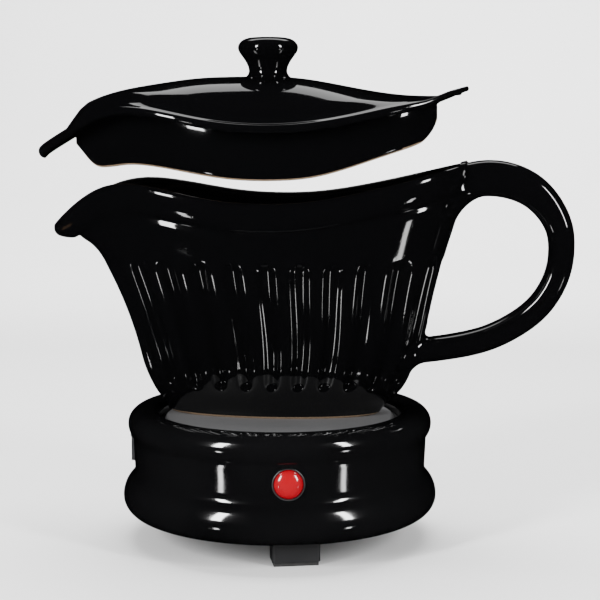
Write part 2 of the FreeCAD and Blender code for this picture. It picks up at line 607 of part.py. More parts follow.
def rim_height(x):
    """The height of the boat's rim over one place along X."""
    curve = rim_curve()
    cut = Part.Plane(FreeCAD.Vector(x, 0, 0), FreeCAD.Vector(1, 0, 0))
    return curve.intersect(cut)[0][0].Z


def oval(z, left, right, half, inset=0.0):
    """A level oval wire about the boat's middle plane."""
    centre = FreeCAD.Vector((left + right) / 2, dim("boat_shift"), z)
    ring = Part.Ellipse(centre, (right - left) / 2 - inset, half - inset)
    return Part.Wire([ring.toShape()])


def upright_oval(x, keel, wide):
    """An upright oval wire across the spout."""
    middle = FreeCAD.Vector(x, dim("boat_shift"), (keel + SPOUT_TOP) / 2)
    tall = (SPOUT_TOP - keel) / 2
    ring = Part.Ellipse(middle + FreeCAD.Vector(0, 0, tall), middle + FreeCAD.Vector(0, wide, 0), middle)
    return Part.Wire([ring.toShape()])


def above_rim(shift=0.0):
    """Everything over the saddle line of the rim."""
    curve = rim_curve(shift)
    start, stop = curve.StartPoint, curve.EndPoint
    roof = 320.0
    corners = [stop, FreeCAD.Vector(stop.x, 0, roof), FreeCAD.Vector(start.x, 0, roof), start]
    edges = [curve.toShape()] + [Part.makeLine(corners[i], corners[i + 1]) for i in range(3)]
    face = Part.Face(Part.Wire(edges))
    face.translate(FreeCAD.Vector(0, -100, 0))
    return face.extrude(FreeCAD.Vector(0, 220, 0))


def strap(points):
    """The handle: rounded sections lofted along its centre line."""
    line = spline_through([(x, dim("boat_shift"), z) for x, z in points])
    sections = []
    count = 22
    for number in range(count + 1):
        share = number / count
        place = line.value(line.FirstParameter + share * (line.LastParameter - line.FirstParameter))
        along = line.tangent(line.parameter(place))[0]
        outward = FreeCAD.Vector(along.z, 0, -along.x)
        thick = dim("strap_root") + (dim("strap_tip") - dim("strap_root")) * min(1.0, 2.0 * share)
        wide = dim("strap_wide") * (1.0 + 0.25 * abs(2 * share - 1) ** 3)
        ring = Part.Ellipse(place + FreeCAD.Vector(0, wide / 2, 0), place + outward * (thick / 2), place)
        sections.append(Part.Wire([ring.toShape()]))
    return Part.makeLoft(sections, True, False)


def make_boat():
    """The boat: a lofted body and spout under one rim line, with a foot and a strap."""
    wall, seat = dim("boat_wall"), dim("plate_top")
    body = Part.makeLoft([oval(*row) for row in BODY], True, False)
    spout = Part.makeLoft([upright_oval(x, keel, half) for x, keel, half in SPOUT], True, False)
    solid = body.cut(above_rim()).fuse(spout.cut(above_rim()))
    foot = Part.Face(oval(seat, dim("foot_left"), dim("foot_right"), dim("foot_half")))
    foot = foot.extrude(FreeCAD.Vector(0, 0, dim("foot_tall") + 0.4))
    solid = solid.fuse([foot, strap(HANDLE)])
    first = BODY[0]
    bottom = oval(seat + dim("boat_floor"), first[1], first[2], first[3], wall)
    hollow = Part.makeLoft([bottom] + [oval(*row, wall) for row in BODY[1:]], True, False)
    throat = [upright_oval(x, keel + wall, half - wall / 3) for x, keel, half in SPOUT[1:4]]
    tip, lip = SPOUT[-1][0], 3.6
    throat += [upright_oval(tip + 1.5, 154.6, lip), upright_oval(tip - 7.0, 155.0, lip)]
    channel = Part.makeLoft(throat, True, False)
    under = Part.Face(oval(seat - 1, dim("foot_left"), dim("foot_right"), dim("foot_half"), 5.0))
    under = under.extrude(FreeCAD.Vector(0, 0, 2.5))
    solid = solid.cut(hollow).cut(channel).cut(under)
    formed("gravy_boat", solid.removeSplitter())


# ------------------------------------------------------------------------- lid
# along the lid: rise of the dome above the rim line, share of the full half width
LID = [(-122.0, 6.5, 0.07), (-112.5, 11.6, 0.16), (-103.5, 10.9, 0.28), (-92.0, 10.8, 0.43),
       (-77.0, 11.8, 0.62), (-60.0, 16.2, 0.79), (-40.0, 22.3, 0.92), (-8.0, 26.0, 1.0), (18.0, 23.0, 0.97),
       (40.0, 15.9, 0.85), (60.0, 9.4, 0.68), (76.0, 6.2, 0.46), (89.0, 4.6, 0.18)]


def lid_section(x, rise, half, low):
    """An upright section of the lid: flat under, edged, and domed over."""
    base = rim_height(x) + dim("lid_raise") + low
    mid = dim("boat_shift")
    edge = min(dim("flange_thick"), rise - 0.8)
    left = FreeCAD.Vector(x, mid - half, base)
    right = FreeCAD.Vector(x, mid + half, base)
    left_top, right_top = left + UP * edge, right + UP * edge
    crown = FreeCAD.Vector(x, mid, base + rise)
    edges = [Part.makeLine(left, right), Part.makeLine(right, right_top),
             Part.Arc(right_top, crown, left_top).toShape(), Part.makeLine(left_top, left)]
    return Part.Wire(edges)


def make_lid():
    """The lid: a domed flange, the skirt that drops into the mouth, and a knob."""
    raised, gap = dim("lid_raise"), dim("lid_gap")
    full_half = dim("mouth_half") + 1.5
    sections = [lid_section(x, rise, full_half * share, gap) for x, rise, share in LID]
    roof = Part.makeLoft(sections, True, False)
    # the skirt that locates the lid in the mouth, its lower edge along the rim line
    below = above_rim(raised - dim("skirt_deep"))
    ceiling = above_rim(raised + gap + 2.0)
    skirt = (0.0, dim("skirt_left"), dim("skirt_right"), dim("skirt_half"))
    plug = Part.Face(oval(*skirt)).extrude(UP * 300.0)
    plug = plug.common(below).cut(ceiling)
    hollow = Part.Face(oval(*skirt, dim("lid_wall"))).extrude(UP * 300.0)
    hollow = hollow.cut(above_rim(raised + gap + 1.5))
    top_x = dim("knob_x")
    rows = [(x, rise - dim("lid_wall") - 1.0, share) for x, rise, share in LID if -62 < x < 52]
    dome = Part.makeLoft([lid_section(x, rise, full_half * share - 16.0, -2.0) for x, rise, share in rows],
                         True, False)
    stem_low = rim_height(top_x) + raised + gap + 21.0
    top = dim("knob_top")
    knob = [(0, stem_low), (dim("neck_rad") + 5.0, stem_low), (dim("neck_rad"), top - 14.5),
            (dim("neck_rad") + 0.4, top - 12.5), (dim("knob_rad"), top - 5.2),
            (dim("knob_rad") - 3.5, top - 1.2), (0, top)]
    spots = [FreeCAD.Vector(r, 0, z) for r, z in knob]
    edges = [Part.makeLine(spots[i], spots[i + 1]) for i in range(4)]
    edges.append(Part.Arc(spots[4], FreeCAD.Vector(dim("knob_rad") - 0.4, 0, top - 3.2), spots[5]).toShape())
    edges.append(Part.makeLine(spots[5], spots[6]))
    edges.append(Part.makeLine(spots[6], spots[0]))
    stem = Part.Face(Part.Wire(edges)).revolve(FreeCAD.Vector(), UP, 360)
    stem.translate(FreeCAD.Vector(top_x, dim("boat_shift"), 0))
    whole = roof.fuse([plug, stem]).cut(hollow).cut(dome)
    formed("lid", whole.removeSplitter())


def write_parts():
    """Write each named sub-part after checking that it rebuilt and is sound."""
    doc.recompute()
    for item in doc.Objects:
        bad = [state for state in item.State if state in ("Invalid", "Error")]
        if bad:
            raise RuntimeError("%s did not rebuild: %s" % (item.Name, bad))
    os.makedirs("parts", exist_ok=True)
    for item in PARTS:
        shape = item.Shape
        if shape.isNull() or not shape.isValid():
            raise RuntimeError(item.Label + " has no valid shape")
        shape.exportStep("parts/%s.step" % item.Label)
        box = shape.optimalBoundingBox()
        print("%-18s %2d solid(s) %9.0f mm3  x %6.1f %6.1f  y %6.1f %6.1f  z %6.1f %6.1f" % (
            item.Label, len(shape.Solids), shape.Volume, box.XMin, box.XMax, box.YMin, box.YMax,
            box.ZMin, box.ZMax))


make_housing()
make_bottom()
make_heater()
make_cutouts()
make_light()
make_switch()
make_inlet()
make_wiring()
make_boat()
make_lid()
write_parts()
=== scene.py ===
import json
import math

import bmesh
import bpy
import numpy as np
from mathutils import Matrix, Vector


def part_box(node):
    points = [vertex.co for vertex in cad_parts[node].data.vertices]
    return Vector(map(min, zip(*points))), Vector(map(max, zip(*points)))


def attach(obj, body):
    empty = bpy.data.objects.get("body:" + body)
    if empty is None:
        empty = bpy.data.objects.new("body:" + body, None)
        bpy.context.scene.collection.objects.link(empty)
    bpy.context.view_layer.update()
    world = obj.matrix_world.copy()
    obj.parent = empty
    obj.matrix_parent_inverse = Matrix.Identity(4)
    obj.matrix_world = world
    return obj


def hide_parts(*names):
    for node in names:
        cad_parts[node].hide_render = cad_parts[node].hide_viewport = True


# Electric sauce warmer: black glazed gravy boat and lid on a round heated base.
# Sizes below are millimetres in the CAD frame; meshes are made in metres.

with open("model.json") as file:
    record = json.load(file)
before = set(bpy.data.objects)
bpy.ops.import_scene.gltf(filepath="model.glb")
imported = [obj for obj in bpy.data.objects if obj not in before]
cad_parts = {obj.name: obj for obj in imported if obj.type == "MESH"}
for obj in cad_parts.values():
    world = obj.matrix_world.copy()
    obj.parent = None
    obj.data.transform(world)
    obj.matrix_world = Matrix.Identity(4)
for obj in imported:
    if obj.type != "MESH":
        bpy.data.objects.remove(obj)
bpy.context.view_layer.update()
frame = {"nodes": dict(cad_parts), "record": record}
MM = 0.001


def box_mm(node):
    """The lowest and highest corner of a node, in millimetres."""
    low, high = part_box(node)
    return np.array(low) / MM, np.array(high) / MM


BOAT_LOW, BOAT_HIGH = box_mm("gravy_boat")
LID_TOP = box_mm("lid")[1][2]
HOUSING_LOW, HOUSING_HIGH = box_mm("base_housing")
MID_Y = (BOAT_LOW[1] + BOAT_HIGH[1]) / 2
FOOT_Z = BOAT_LOW[2]
LID_RAISE = 33.0


# ------------------------------------------------------------------ small maths
class Spline:
    """A natural cubic through (x, y) points, straight beyond its ends."""

    def __init__(self, points):
        self.x, self.y = (np.array(column, float) for column in zip(*sorted(points)))
        step, rise = np.diff(self.x), np.diff(self.y)
        count = len(self.x)
        system, right = np.eye(count), np.zeros(count)
        for row in range(1, count - 1):
            system[row, row - 1:row + 2] = step[row - 1], 2 * (step[row - 1] + step[row]), step[row]
            right[row] = 6 * (rise[row] / step[row] - rise[row - 1] / step[row - 1])
        self.bend = np.linalg.solve(system, right)
        self.step = step

    def __call__(self, x):
        x = np.asarray(x, float)
        inside = np.clip(x, self.x[0], self.x[-1])
        k = np.clip(np.searchsorted(self.x, inside) - 1, 0, len(self.x) - 2)
        gap, a, b = self.step[k], self.x[k + 1] - inside, inside - self.x[k]
        value = (self.bend[k] * a ** 3 + self.bend[k + 1] * b ** 3) / (6 * gap)
        value += (self.y[k] / gap - self.bend[k] * gap / 6) * a
        value += (self.y[k + 1] / gap - self.bend[k + 1] * gap / 6) * b
        slope_in = (self.y[1] - self.y[0]) / self.step[0] - self.bend[1] * self.step[0] / 6
        slope_out = (self.y[-1] - self.y[-2]) / self.step[-1] + self.bend[-2] * self.step[-1] / 6
        return value + np.where(x < self.x[0], slope_in, slope_out) * (x - inside)


def smooth(x, low, high):
    """0 below low, 1 above high, and an even S between."""
    share = np.clip((x - low) / (high - low), 0, 1)
    return share * share * (3 - 2 * share)


def path_spline(points):
    """A curve in the X-Z plane through points, by its share of the length."""
    points = np.array(points, float)
    run = np.concatenate([[0], np.cumsum(np.hypot(*np.diff(points, axis=0).T))])
    run /= run[-1]
    return Spline(list(zip(run, points[:, 0]))), Spline(list(zip(run, points[:, 1])))


# ----------------------------------------------------------------- mesh helpers
def grid_faces(rows, columns, first=0, closed=True):
    """Quads of a grid stored row by row, wrapping round its columns."""
    faces = []
    last = columns if closed else columns - 1
    for r in range(rows - 1):
        for c in range(last):
            d = (c + 1) % columns
            a = first + r * columns
            faces.append((a + c, a + d, a + columns + d, a + columns + c))
    return faces


def make_piece(name, verts, faces, body, materials, replaced=()):
    """A smooth-shaded mesh from millimetre points that rides on a body."""
    mesh = bpy.data.meshes.new(name)
    mesh.from_pydata([tuple(v * MM) for v in np.asarray(verts, float)], [], faces)
    for material in materials:
        mesh.materials.append(material)
    piece = bpy.data.objects.new(name, mesh)
    bpy.context.scene.collection.objects.link(piece)
    tidy_mesh(mesh)
    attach(piece, body)
    if replaced:
        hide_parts(*replaced)
    return piece


def tidy_mesh(mesh, angle=40.0):
    """Normals outward, no doubled points, smooth except over sharp edges."""
    work = bmesh.new()
    work.from_mesh(mesh)
    bmesh.ops.remove_doubles(work, verts=work.verts, dist=1e-6)
    bmesh.ops.recalc_face_normals(work, faces=work.faces)
    for face in work.faces:
        face.smooth = True
    work.to_mesh(mesh)
    work.free()
    mesh.set_sharp_from_angle(angle=math.radians(angle))


def turned_grid(profile, sides=256, centre=(0.0, 0.0)):
    """Points and faces of a profile of (radius, height) turned about Z."""
    turn = np.linspace(0, 2 * math.pi, sides, endpoint=False)
    verts = [(centre[0] + r * math.cos(a), centre[1] + r * math.sin(a), z)
             for r, z in profile for a in turn]
    return verts, grid_faces(len(profile), sides)


def arc(centre, radius, start, stop, steps=12, squash=1.0):
    """(radius, height) points round a centre, degrees from outward."""
    turns = np.radians(np.linspace(start, stop, steps + 1))
    return [(centre[0] + radius * math.cos(t), centre[1] + squash * radius * math.sin(t)) for t in turns]


def assign_where(piece, index, test):
    """Give a second material to the faces whose middle passes a test."""
    for face in piece.data.polygons:
        if test(face.center / MM):
            face.material_index = index


# -------------------------------------------------------------------- materials
def material(name):
    """A new node material: its tree, its Principled shader and a node maker."""
    made = bpy.data.materials.new(name)
    made.use_nodes = True
    tree = made.node_tree
    shader = tree.nodes["Principled BSDF"]

    def node(kind, **values):
        item = tree.nodes.new(kind)
        for key, value in values.items():
            if key in item.inputs:
                item.inputs[key].default_value = value
            else:
                setattr(item, key, value)
        return item

    return made, tree, shader, node


def object_coordinates(tree, node):
    """Where a point lies on its own piece."""
    place = node("ShaderNodeTexCoord")
    return place.outputs["Object"]


def ramp(node, low, high, low_value, high_value):
    """A colour ramp from one grey or colour to another."""
    item = node("ShaderNodeValToRGB")
    ends = item.color_ramp.elements
    ends[0].position, ends[1].position = low, high
    for end, value in zip(ends, (low_value, high_value)):
        end.color = (value, value, value, 1) if isinstance(value, float) else (*value, 1)
    return item


def noise(tree, node, where, scale, detail=4.0, rough=0.5):
    """A noise pattern's value, from 0 to 1."""
    item = node("ShaderNodeTexNoise", Scale=scale, Detail=detail, Roughness=rough)
    tree.links.new(where, item.inputs["Vector"])
    return item.outputs["Fac"]


def add_bump(tree, node, shader, height, strength, distance, below=None):
    """Raise the surface by a pattern, over an earlier bump if one is given."""
    bump = node("ShaderNodeBump", Strength=strength, Distance=distance)
    tree.links.new(height, bump.inputs["Height"])
    if below is not None:
        tree.links.new(below, bump.inputs["Normal"])
    tree.links.new(bump.outputs["Normal"], shader.inputs["Normal"])
    return bump.outputs["Normal"]


def black_glaze():
    """Thick gloss glaze: slow ripples, pin-holes, thinner and browner on edges."""
    made, tree, shader, node = material("black_glaze")
    where = object_coordinates(tree, node)
    worn = node("ShaderNodeNewGeometry").outputs["Pointiness"]
    edge = ramp(node, 0.54, 0.66, (0.0015, 0.0015, 0.0017), (0.014, 0.009, 0.006))
    tree.links.new(worn, edge.inputs["Fac"])
    tree.links.new(edge.outputs["Color"], shader.inputs["Base Color"])
    rough = ramp(node, 0.35, 0.75, 0.045, 0.085)
    tree.links.new(noise(tree, node, where, 55.0), rough.inputs["Fac"])
    tree.links.new(rough.outputs["Color"], shader.inputs["Roughness"])
    slow = add_bump(tree, node, shader, noise(tree, node, where, 38.0, 2.0), 0.12, 0.0006)
    pits = ramp(node, 0.12, 0.2, 0.0, 1.0)
    spots = node("ShaderNodeTexVoronoi", Scale=420.0)
    tree.links.new(where, spots.inputs["Vector"])
    tree.links.new(spots.outputs["Distance"], pits.inputs["Fac"])
    add_bump(tree, node, shader, pits.outputs["Color"], 0.05, 0.0001, slow)
    shader.inputs["Specular IOR Level"].default_value = 0.42
    shader.inputs["IOR"].default_value = 1.5
    return made


def raw_clay():
    """Unglazed buff stoneware with fine grog."""
    made, tree, shader, node = material("raw_clay")
    where = object_coordinates(tree, node)
    grain = noise(tree, node, where, 900.0, 6.0, 0.7)
    tone = ramp(node, 0.3, 0.75, (0.12, 0.078, 0.045), (0.24, 0.165, 0.10))
    tree.links.new(grain, tone.inputs["Fac"])
    tree.links.new(tone.outputs["Color"], shader.inputs["Base Color"])
    shader.inputs["Roughness"].default_value = 0.85
    add_bump(tree, node, shader, grain, 0.5, 0.0002)
    return made


def plastic(name, colour, rough_low, rough_high, grain_scale, grain_depth, coat=0.0):
    """Moulded plastic: colour drift, uneven gloss and a moulded grain."""
    made, tree, shader, node = material(name)
    where = object_coordinates(tree, node)
    lighter = tuple(min(1.0, c * 1.6 + 0.0005) for c in colour)
    tone = ramp(node, 0.3, 0.8, colour, lighter)
    cloud = noise(tree, node, where, 24.0)
    tree.links.new(cloud, tone.inputs["Fac"])
    tree.links.new(tone.outputs["Color"], shader.inputs["Base Color"])
    gloss = ramp(node, 0.3, 0.7, rough_low, rough_high)
    tree.links.new(noise(tree, node, where, 90.0, 6.0), gloss.inputs["Fac"])
    tree.links.new(gloss.outputs["Color"], shader.inputs["Roughness"])
    grain = noise(tree, node, where, grain_scale, 5.0, 0.6)
    add_bump(tree, node, shader, grain, 0.25, grain_depth)
    shader.inputs["Coat Weight"].default_value = coat
    shader.inputs["Coat Roughness"].default_value = 0.04
    return made


def coated_plate():
    """Mid-grey non-stick coating over faint turning marks."""
    made, tree, shader, node = material("coated_aluminium")
    where = object_coordinates(tree, node)
    speck = noise(tree, node, where, 1500.0, 3.0, 0.8)
    tone = ramp(node, 0.25, 0.75, (0.09, 0.09, 0.092), (0.14, 0.14, 0.143))
    tree.links.new(speck, tone.inputs["Fac"])
    tree.links.new(tone.outputs["Color"], shader.inputs["Base Color"])
    rough = ramp(node, 0.3, 0.7, 0.42, 0.58)
    tree.links.new(noise(tree, node, where, 40.0), rough.inputs["Fac"])
    tree.links.new(rough.outputs["Color"], shader.inputs["Roughness"])
    shader.inputs["Metallic"].default_value = 0.15
    rings = node("ShaderNodeTexWave", wave_type="RINGS", rings_direction="Z", Scale=260.0,
                 Distortion=0.6)
    tree.links.new(where, rings.inputs["Vector"])
    marks = add_bump(tree, node, shader, rings.outputs["Fac"], 0.08, 0.0001)
    add_bump(tree, node, shader, speck, 0.2, 0.00008, marks)
    return made


def red_lens():
    """Tinted translucent lens, deeper in colour away from its crown."""
    made, tree, shader, node = material("red_lens")
    where = object_coordinates(tree, node)
    facing = node("ShaderNodeLayerWeight", Blend=0.35).outputs["Facing"]
    tone = ramp(node, 0.0, 0.9, (0.30, 0.002, 0.008), (0.11, 0.001, 0.004))
    tree.links.new(facing, tone.inputs["Fac"])
    tree.links.new(tone.outputs["Color"], shader.inputs["Base Color"])
    shader.inputs["Roughness"].default_value = 0.16
    shader.inputs["Subsurface Weight"].default_value = 0.12
    shader.inputs["Subsurface Radius"].default_value = (0.004, 0.0006, 0.0005)
    shader.inputs["Coat Weight"].default_value = 0.45
    shader.inputs["Coat Roughness"].default_value = 0.05
    add_bump(tree, node, shader, noise(tree, node, where, 500.0), 0.12, 0.00008)
    return made


def metal(name, colour, rough, scratch=600.0):
    """Plated metal: drawn scratches and a dulled, uneven shine."""
    made, tree, shader, node = material(name)
    where = object_coordinates(tree, node)
    stretch = node("ShaderNodeMapping")
    stretch.inputs["Scale"].default_value = (1.0, 1.0, 14.0)
    tree.links.new(where, stretch.inputs["Vector"])
    lines = noise(tree, node, stretch.outputs["Vector"], scratch, 5.0, 0.7)
    darker = tuple(c * 0.72 for c in colour)
    tone = ramp(node, 0.25, 0.7, darker, colour)
    tree.links.new(lines, tone.inputs["Fac"])
    tree.links.new(tone.outputs["Color"], shader.inputs["Base Color"])
    dull = ramp(node, 0.3, 0.75, rough, rough + 0.18)
    tree.links.new(noise(tree, node, where, 70.0), dull.inputs["Fac"])
    tree.links.new(dull.outputs["Color"], shader.inputs["Roughness"])
    shader.inputs["Metallic"].default_value = 1.0
    add_bump(tree, node, shader, lines, 0.15, 0.00005)
    return made


def grainy(name, dark, light, scale, rough, depth):
    """A matt material with a two-tone grain: rubber, fibre board, ceramic."""
    made, tree, shader, node = material(name)
    where = object_coordinates(tree, node)
    grain = noise(tree, node, where, scale, 6.0, 0.65)
    tone = ramp(node, 0.3, 0.7, dark, light)
    tree.links.new(grain, tone.inputs["Fac"])
    tree.links.new(tone.outputs["Color"], shader.inputs["Base Color"])
    shader.inputs["Roughness"].default_value = rough
    add_bump(tree, node, shader, grain, 0.35, depth)
    return made


def lamp_glass():
    """Warm tinted glass of the neon lamp behind the lens."""
    made, tree, shader, node = material("lamp_glass")
    where = object_coordinates(tree, node)
    tone = ramp(node, 0.3, 0.7, (0.75, 0.45, 0.28), (0.9, 0.62, 0.42))
    tree.links.new(noise(tree, node, where, 200.0), tone.inputs["Fac"])
    tree.links.new(tone.outputs["Color"], shader.inputs["Base Color"])
    shader.inputs["Roughness"].default_value = 0.08
    shader.inputs["Transmission Weight"].default_value = 0.7
    return made


LOOKS = {
    "black_glaze": black_glaze(),
    "raw_clay": raw_clay(),
    "gloss_black_plastic": plastic("gloss_black_plastic", (0.002, 0.002, 0.0022), 0.07, 0.13, 700.0,
                                   0.00002, 0.5),
    "matte_black_plastic": plastic("matte_black_plastic", (0.014, 0.014, 0.015), 0.34, 0.5, 1600.0,
                                   0.00006),
    "coated_aluminium": coated_plate(),
    "gasket_silicone": grainy("gasket_silicone", (0.006, 0.006, 0.006), (0.014, 0.014, 0.014), 800.0,
                              0.6, 0.00005),
    "pad_rubber": grainy("pad_rubber", (0.012, 0.012, 0.012), (0.03, 0.03, 0.03), 1200.0, 0.8, 0.0001),
    "zinc_steel": metal("zinc_steel", (0.62, 0.63, 0.65), 0.28),
    "mica_board": grainy("mica_board", (0.42, 0.35, 0.24), (0.62, 0.55, 0.42), 350.0, 0.75, 0.00012),
    "ceramic_white": grainy("ceramic_white", (0.72, 0.70, 0.65), (0.86, 0.85, 0.81), 500.0, 0.55,
                            0.00004),
    "red_lens": red_lens(),
    "lamp_glass": lamp_glass(),
    "contact_brass": metal("contact_brass", (0.78, 0.60, 0.30), 0.25),
    "wire_sleeve": grainy("wire_sleeve", (0.66, 0.64, 0.56), (0.84, 0.82, 0.74), 1400.0, 0.8, 0.00012),
}


def dress_cad_nodes():
    """Every CAD node gets the finish of its slot."""
    for entry in frame["record"]["subparts"]:
        look = LOOKS[entry["material_slot"]]
        node = frame["nodes"][entry["node"]]
        node.data.materials.clear()
        node.data.materials.append(look)


# ------------------------------------------------------------------- gravy boat
# height of the rim along X, before the spout droops
RIM = Spline([(-97, 171.6), (-85, 174.9), (-74, 176.0), (-60, 174.7), (-40, 171.1), (-24, 168.7),
              (-8, 167.7), (5, 167.8), (18, 168.8), (32, 170.9), (50, 174.6), (66, 178.4), (79, 181.8),
              (88, 184.2), (104, 188.5)])
RIM_GUESS, RIM_TRIES = 175.0, 12
# body by height: left end, right end, half width
LEFT_END = Spline([(61.5, -57.0), (64.5, -58.8), (72, -64.0), (84, -68.3), (96, -72.4), (122, -81.5),
                   (150, -91.6), (176, -97.0)])
RIGHT_END = Spline([(61.5, 50), (64.5, 51.5), (72, 59.0), (84, 66.0), (96, 70.5), (122, 76.8),
                    (150, 84.3), (170, 90), (190, 92.5)])
HALF_WIDTH = Spline([(61.5, 21), (64.5, 22), (72, 26.5), (96, 33.0), (122, 37.5), (150, 41.0),
                     (178, 43.4)])
# line under the spout: X, height, share of the way from foot to rim
KEEL = [(-57.0, 61.5, 0.0), (-58.8, 64.5, 0.026), (-64.0, 72, 0.092), (-72.4, 96, 0.303),
        (-81.5, 122, 0.532), (-86.4, 132, 0.62), (-91.8, 140.8, 0.70), (-97.4, 146.4, 0.765),
        (-103.8, 149.2, 0.835), (-110.0, 150.5, 0.905), (-113.8, 152.0, 0.96), (-114.6, 154.6, 1.0)]
KEEL_X = Spline([(s, x) for x, _, s in KEEL])
KEEL_Z = Spline([(s, z) for _, z, s in KEEL])
# how far round the spout's pull reaches in degrees, and how sharply it dips
SPOUT_SPREAD, SPOUT_DIP = 20.0, 1.25
SPOUT_START_X = -97.0
GROOVES = 24
GROOVE_HALF = 4.4
GROOVE_DEEP = 2.0
GROOVE_LOW, GROOVE_HIGH = 76.0, 141.5
GROOVE_LOW_AT_HANDLE = 108.0
GROOVE_OVAL = (74.0, 34.5)
LOBE_SWELL = 0.75
PER_GROOVE = 18
OUTER_ROWS, RIM_ROWS, LIP_ROWS, INNER_ROWS = 104, 14, 15, 46
WALL = 4.6
# the spout's wall is thinner by this much, over this many degrees
SPOUT_THINNER, SPOUT_THIN_SPREAD = 1.5, 22.0
# the rolled bead below the rim, and the fine crease under it
BEAD_TOP, BEAD_TALL, BEAD_OUT = 4.6, 12.0, 1.7
CREASE_IN, CREASE_BELOW, CREASE_TALL = 0.9, 1.0, 1.7
# under the foot: share of the foot's outline, height above its lowest ring
FOOT_RINGS = ((0.05, 1.8), (0.60, 1.8), (0.80, 1.7), (0.825, 1.2), (0.84, 0.1), (0.86, 0.0), (0.97, 0.0))
# inside floor: share of the last inner row, height above the floor
FLOOR_THICK = 6.2
FLOOR_RINGS = ((0.93, 0.7), (0.84, 0.1), (0.6, 0.0), (0.05, 0.0))
BARE_FOOT = 0.9


def even_angles(count, along, across):
    """Angles that step evenly along an oval's edge."""
    fine = np.linspace(0, 2 * math.pi, 4001)
    steps = np.hypot(np.diff(along * np.cos(fine)), np.diff(across * np.sin(fine)))
    run = np.concatenate([[0], np.cumsum(steps)])
    share = np.linspace(0, run[-1], count, endpoint=False)
    return np.interp(share, run, fine), run[-1] / count


def boat_surface(angle, share):
    """The smooth outside of the boat: share runs from the foot to the rim."""
    angle, share = np.broadcast_arrays(angle, share)
    top = np.full(angle.shape, RIM_GUESS)
    for _ in range(RIM_TRIES):
        middle, reach = (LEFT_END(top) + RIGHT_END(top)) / 2, (RIGHT_END(top) - LEFT_END(top)) / 2
        top = RIM(middle + reach * np.cos(angle))
    z = FOOT_Z + share * (top - FOOT_Z)
    middle, reach = (LEFT_END(z) + RIGHT_END(z)) / 2, (RIGHT_END(z) - LEFT_END(z)) / 2
    x = middle + reach * np.cos(angle)
    y = HALF_WIDTH(z) * np.sin(angle)
    # the spout draws the left end out and down towards its keel line
    back_top = RIM(SPOUT_START_X)
    back_z = FOOT_Z + share * (back_top - FOOT_Z)
    off = np.degrees(np.abs(angle % (2 * math.pi) - math.pi))
    pull = np.exp(-(off / SPOUT_SPREAD) ** 2)
    x = x + pull * (KEEL_X(share) - LEFT_END(back_z))
    z = z + pull ** SPOUT_DIP * (KEEL_Z(share) - back_z)
    return np.stack([x, y, z], axis=-1)


def grid_normals(points):
    """Outward unit normals of a grid whose columns wrap round."""
    across = np.roll(points, -1, axis=1) - np.roll(points, 1, axis=1)
    up = np.gradient(points, axis=0)
    normal = np.cross(across, up)
    return normal / np.linalg.norm(normal, axis=-1, keepdims=True)


def flute_offset(points, spacing, pitch):
    """Round-ended grooves cut in the wall, with the lobes between them swelling."""
    column = np.arange(points.shape[1])
    aside = np.abs((column + PER_GROOVE / 2) % PER_GROOVE - PER_GROOVE / 2) * pitch
    z = points[..., 2]
    at_handle = np.minimum(column, len(column) - column) < PER_GROOVE / 2
    low_end = np.where(at_handle, GROOVE_LOW_AT_HANDLE, GROOVE_LOW)[None, :]
    beyond = np.maximum(low_end + GROOVE_HALF - z, z - (GROOVE_HIGH - GROOVE_HALF))
    away = np.hypot(aside[None, :], np.maximum(beyond, 0))
    cut = np.clip(1 - (away / GROOVE_HALF) ** 2, 0, 1) ** 1.5
    fade = smooth(z, GROOVE_LOW - 2, GROOVE_LOW + 12)
    fade = fade * (1 - smooth(z, GROOVE_HIGH - 8, GROOVE_HIGH + 4))
    lobe = (aside - GROOVE_HALF * 0.7) / (spacing - GROOVE_HALF * 1.4)
    swell = np.sin(math.pi * np.clip(lobe, 0, 1))
    return -GROOVE_DEEP * cut + LOBE_SWELL * fade * swell[None, :]


def boat_body_points():
    """Rows of points: under the foot, up the outside, over the rim, down inside."""
    columns = GROOVES * PER_GROOVE
    angles, pitch = even_angles(columns, *GROOVE_OVAL)
    shares = np.linspace(0, 1, OUTER_ROWS)
    shares = np.sort(np.concatenate([shares, 1 - np.linspace(0.004, 0.12, RIM_ROWS)]))
    smooth_side = boat_surface(angles[None, :], shares[:, None])
    normal = grid_normals(smooth_side)
    below = np.linalg.norm(smooth_side[-1][None] - smooth_side, axis=-1)
    bead = BEAD_OUT * np.sqrt(np.clip(1 - ((below - BEAD_TOP) / (BEAD_TALL - BEAD_TOP)) ** 2, 0, 1))
    crease = -CREASE_IN * np.exp(-((below - BEAD_TALL - CREASE_BELOW) / CREASE_TALL) ** 2)
    offset = flute_offset(smooth_side, pitch * PER_GROOVE, pitch) + bead + crease
    outer = smooth_side + normal * offset[..., None]
    # rim: a round lip between the outer and inner wall
    spout_share = np.exp(-((angles - math.pi) / math.radians(SPOUT_THIN_SPREAD)) ** 2)
    wall = WALL - SPOUT_THINNER * spout_share
    lip_centre = outer[-1] - normal[-1] * (wall / 2)[:, None]
    rise = np.array([0.0, 0.0, 1.0])
    half = (wall / 2)[:, None]
    lip = [lip_centre + normal[-1] * half * math.cos(t) + rise * half * math.sin(t)
           for t in np.linspace(0.12, math.pi, LIP_ROWS)]
    inner_share = np.linspace(0.995, 0.075, INNER_ROWS)
    inner_side = boat_surface(angles[None, :], inner_share[:, None])
    inner = inner_side - grid_normals(inner_side[::-1])[::-1] * wall[None, :, None]
    return outer, lip, inner


def ring_scaled(ring, scale, height):
    """A level ring drawn in towards its own middle."""
    middle = ring.mean(axis=0)
    made = middle + (ring - middle) * scale
    made[:, 2] = height
    return made


